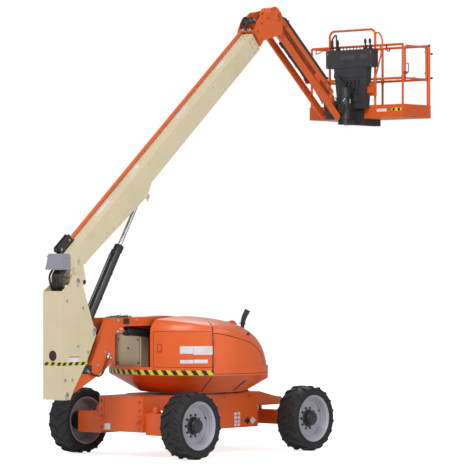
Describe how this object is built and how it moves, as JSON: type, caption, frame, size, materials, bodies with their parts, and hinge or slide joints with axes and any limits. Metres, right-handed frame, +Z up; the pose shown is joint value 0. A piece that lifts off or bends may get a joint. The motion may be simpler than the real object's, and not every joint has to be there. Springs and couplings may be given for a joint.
{
  "type": "articulating boom lift",
  "caption": "Self-propelled articulating boom lift: turntable on a wheeled chassis, dog-leg lower boom and upright, telescoping main boom, jib and railed work platform.",
  "frame": {"origin": "on the ground under the turntable's swing axis", "axes": "+X towards the platform end, +Y to the left-hand side, +Z up"},
  "size_m": [7.2897, 2.49, 6.4856],
  "materials": {
    "orange_paint": "semi-gloss enamel",
    "cream_paint": "semi-gloss enamel",
    "black_paint": "satin",
    "chrome_rod": "polished",
    "steel": "machined",
    "grey_paint": "satin",
    "black_plastic": "matt moulded",
    "tyre_rubber": "matt rubber",
    "rim_paint": "satin"
  },
  "bodies": {
    "chassis": {"chassis_frame": "orange_paint", "rear_axle": "orange_paint", "front_axle": "orange_paint", "steering_cylinder": "black_paint", "slew_bearing": "steel"},
    "knuckle_right": {"steering_knuckle_right": "black_paint"},
    "knuckle_left": {"steering_knuckle_left": "black_paint"},
    "tie_rod": {"tie_rod": "steel"},
    "turntable": {"turntable_base": "orange_paint", "turntable_plates": "orange_paint", "right_hood": "orange_paint", "left_hood": "orange_paint", "tail_cover": "orange_paint", "valve_cover": "cream_paint", "engine_block": "black_paint", "exhaust_stack": "black_paint"},
    "right_hood_door": {"right_hood_door": "orange_paint"},
    "left_hood_door": {"left_hood_door": "orange_paint"},
    "lower_boom": {"lower_boom": "orange_paint"},
    "lower_lift_barrel": {"lower_lift_barrel": "black_paint"},
    "lower_lift_rod": {"lower_lift_rod": "chrome_rod"},
    "upright": {"upright": "cream_paint"},
    "main_boom": {"main_boom": "cream_paint", "hose_guard": "grey_paint"},
    "upper_lift_barrel": {"upper_lift_barrel": "black_paint"},
    "upper_lift_rod": {"upper_lift_rod": "chrome_rod"},
    "fly_boom": {"fly_boom": "steel", "boom_nose": "orange_paint", "hose_rail": "orange_paint"},
    "jib": {"jib_arm": "orange_paint"},
    "jib_links": {"jib_links": "orange_paint"},
    "jib_lift_barrel": {"jib_lift_barrel": "black_paint"},
    "jib_lift_rod": {"jib_lift_rod": "chrome_rod"},
    "jib_bracket": {"jib_bracket": "black_paint"},
    "platform_rotator": {"platform_rotator": "black_paint"},
    "platform": {"platform_support": "black_paint", "platform_floor": "orange_paint", "platform_rails": "orange_paint", "control_console": "black_plastic"},
    "platform_gate": {"platform_gate": "orange_paint"},
    "wheel_front_right": {"tyre_front_right": "tyre_rubber", "rim_front_right": "rim_paint"},
    "wheel_front_left": {"tyre_front_left": "tyre_rubber", "rim_front_left": "rim_paint"},
    "wheel_rear_right": {"tyre_rear_right": "tyre_rubber", "rim_rear_right": "rim_paint"},
    "wheel_rear_left": {"tyre_rear_left": "tyre_rubber", "rim_rear_left": "rim_paint"}
  },
  "joints": [
    {"name": "turntable_swing", "type": "hinge", "parent": "chassis", "child": "turntable", "pos_m": [0, 0, 0.865], "axis": [0, 0, 1], "continuous": true},
    {"name": "steering_right", "type": "hinge", "parent": "chassis", "child": "knuckle_right", "pos_m": [1.24, -0.8, 0.47], "axis": [0, 0, 1], "range_deg": [-32, 32]},
    {"name": "wheel_front_right_spin", "type": "hinge", "parent": "knuckle_right", "child": "wheel_front_right", "pos_m": [1.24, -1.0675, 0.47], "axis": [0, 1, 0], "continuous": true},
    {"name": "wheel_rear_right_spin", "type": "hinge", "parent": "chassis", "child": "wheel_rear_right", "pos_m": [-1.24, -1.0675, 0.47], "axis": [0, 1, 0], "continuous": true},
    {"name": "steering_left", "type": "hinge", "parent": "chassis", "child": "knuckle_left", "pos_m": [1.24, 0.8, 0.47], "axis": [0, 0, 1], "range_deg": [-32, 32]},
    {"name": "wheel_front_left_spin", "type": "hinge", "parent": "knuckle_left", "child": "wheel_front_left", "pos_m": [1.24, 1.0675, 0.47], "axis": [0, 1, 0], "continuous": true},
    {"name": "wheel_rear_left_spin", "type": "hinge", "parent": "chassis", "child": "wheel_rear_left", "pos_m": [-1.24, 1.0675, 0.47], "axis": [0, 1, 0], "continuous": true},
    {"name": "tie_rod_slide", "type": "slide", "parent": "chassis", "child": "tie_rod", "axis": [0, 1, 0], "range_m": [-0.1123, 0.1123]},
    {"name": "lower_boom_lift", "type": "hinge", "parent": "turntable", "child": "lower_boom", "pos_m": [0.62, 0, 1.76], "axis": [0, 1, 0], "range_deg": [0, 75]},
    {"name": "upright_level", "type": "hinge", "parent": "lower_boom", "child": "upright", "pos_m": [-2.775, 0, 0.92], "axis": [0, 1, 0], "range_deg": [-75, 0]},
    {"name": "lower_cylinder_tilt", "type": "hinge", "parent": "turntable", "child": "lower_lift_barrel", "pos_m": [0.05, 0, 1.62], "axis": [0, 1, 0], "range_deg": [0, 87.2]},
    {"name": "lower_cylinder_stroke", "type": "slide", "parent": "lower_lift_barrel", "child": "lower_lift_rod", "axis": [-0.9953, 0, 0.0964], "range_m": [-0.001, 0.577]},
    {"name": "main_boom_lift", "type": "hinge", "parent": "upright", "child": "main_boom", "pos_m": [-2.56, 0, 2.47], "axis": [0, -1, 0], "range_deg": [-40, 35]},
    {"name": "upper_cylinder_tilt", "type": "hinge", "parent": "upright", "child": "upper_lift_barrel", "pos_m": [-2.24, 0, 1.79], "axis": [0, -1, 0], "range_deg": [-33, 28.9]},
    {"name": "upper_cylinder_stroke", "type": "slide", "parent": "upper_lift_barrel", "child": "upper_lift_rod", "axis": [0.5195, 0, 0.8544], "range_m": [-0.4338, 0.3797]},
    {"name": "boom_telescope", "type": "slide", "parent": "main_boom", "child": "fly_boom", "axis": [0.7615, 0, 0.6481], "range_m": [0, 3.8]},
    {"name": "jib_lift", "type": "hinge", "parent": "fly_boom", "child": "jib", "pos_m": [1.71135, 0, 6.35076], "axis": [0, -1, 0], "range_deg": [-5, 130]},
    {"name": "jib_link_swing", "type": "hinge", "parent": "fly_boom", "child": "jib_links", "pos_m": [1.79135, 0, 6.08076], "axis": [0, -1, 0], "range_deg": [-5, 130]},
    {"name": "jib_bracket_level", "type": "hinge", "parent": "jib", "child": "jib_bracket", "pos_m": [3.05172, 0, 5.1856], "axis": [0, -1, 0], "range_deg": [-130, 5]},
    {"name": "jib_cylinder_tilt", "type": "hinge", "parent": "jib", "child": "jib_lift_barrel", "pos_m": [2.6126, 0, 5.4441], "axis": [0, -1, 0], "range_deg": [-0.3, 2.8]},
    {"name": "jib_cylinder_stroke", "type": "slide", "parent": "jib_lift_barrel", "child": "jib_lift_rod", "axis": [-0.764, 0, 0.6452], "range_m": [-0.0185, 0.4548]},
    {"name": "platform_level", "type": "hinge", "parent": "jib_bracket", "child": "platform_rotator", "pos_m": [3.26672, 0, 5.0456], "axis": [0, 1, 0], "range_deg": [-40, 35]},
    {"name": "platform_rotate", "type": "hinge", "parent": "platform_rotator", "child": "platform", "pos_m": [3.45172, 0, 5.085], "axis": [0, 0, 1], "range_deg": [-90, 90]},
    {"name": "platform_gate_swing", "type": "hinge", "parent": "platform", "child": "platform_gate", "pos_m": [4.3477, -0.891, 5.77], "axis": [0, 0, -1], "range_deg": [0, 90]},
    {"name": "right_door_swing", "type": "hinge", "parent": "turntable", "child": "right_hood_door", "pos_m": [-0.67548, -0.99183, 1.5], "axis": [0, 0, 1], "range_deg": [0, 100]},
    {"name": "left_door_swing", "type": "hinge", "parent": "turntable", "child": "left_hood_door", "pos_m": [-0.67548, 0.99183, 1.5], "axis": [0, 0, -1], "range_deg": [0, 100]}
  ],
  "couplings": [
    {"joint": "steering_left", "follows": "steering_right", "ratio": 1},
    {"joint": "tie_rod_slide", "follows": "steering_right", "m_per_rad": 0.19925},
    {"joint": "upright_level", "follows": "lower_boom_lift", "ratio": -1},
    {"joint": "lower_cylinder_tilt", "follows": "lower_boom_lift", "ratio": 1.16},
    {"joint": "lower_cylinder_stroke", "follows": "lower_boom_lift", "m_per_rad": 0.44},
    {"joint": "upper_cylinder_tilt", "follows": "main_boom_lift", "ratio": 0.82},
    {"joint": "upper_cylinder_stroke", "follows": "main_boom_lift", "m_per_rad": 0.62},
    {"joint": "jib_link_swing", "follows": "jib_lift", "ratio": 1},
    {"joint": "jib_bracket_level", "follows": "jib_lift", "ratio": -1},
    {"joint": "jib_cylinder_tilt", "follows": "jib_lift", "ratio": 0.02},
    {"joint": "jib_cylinder_stroke", "follows": "jib_lift", "m_per_rad": 0.2}
  ]
}
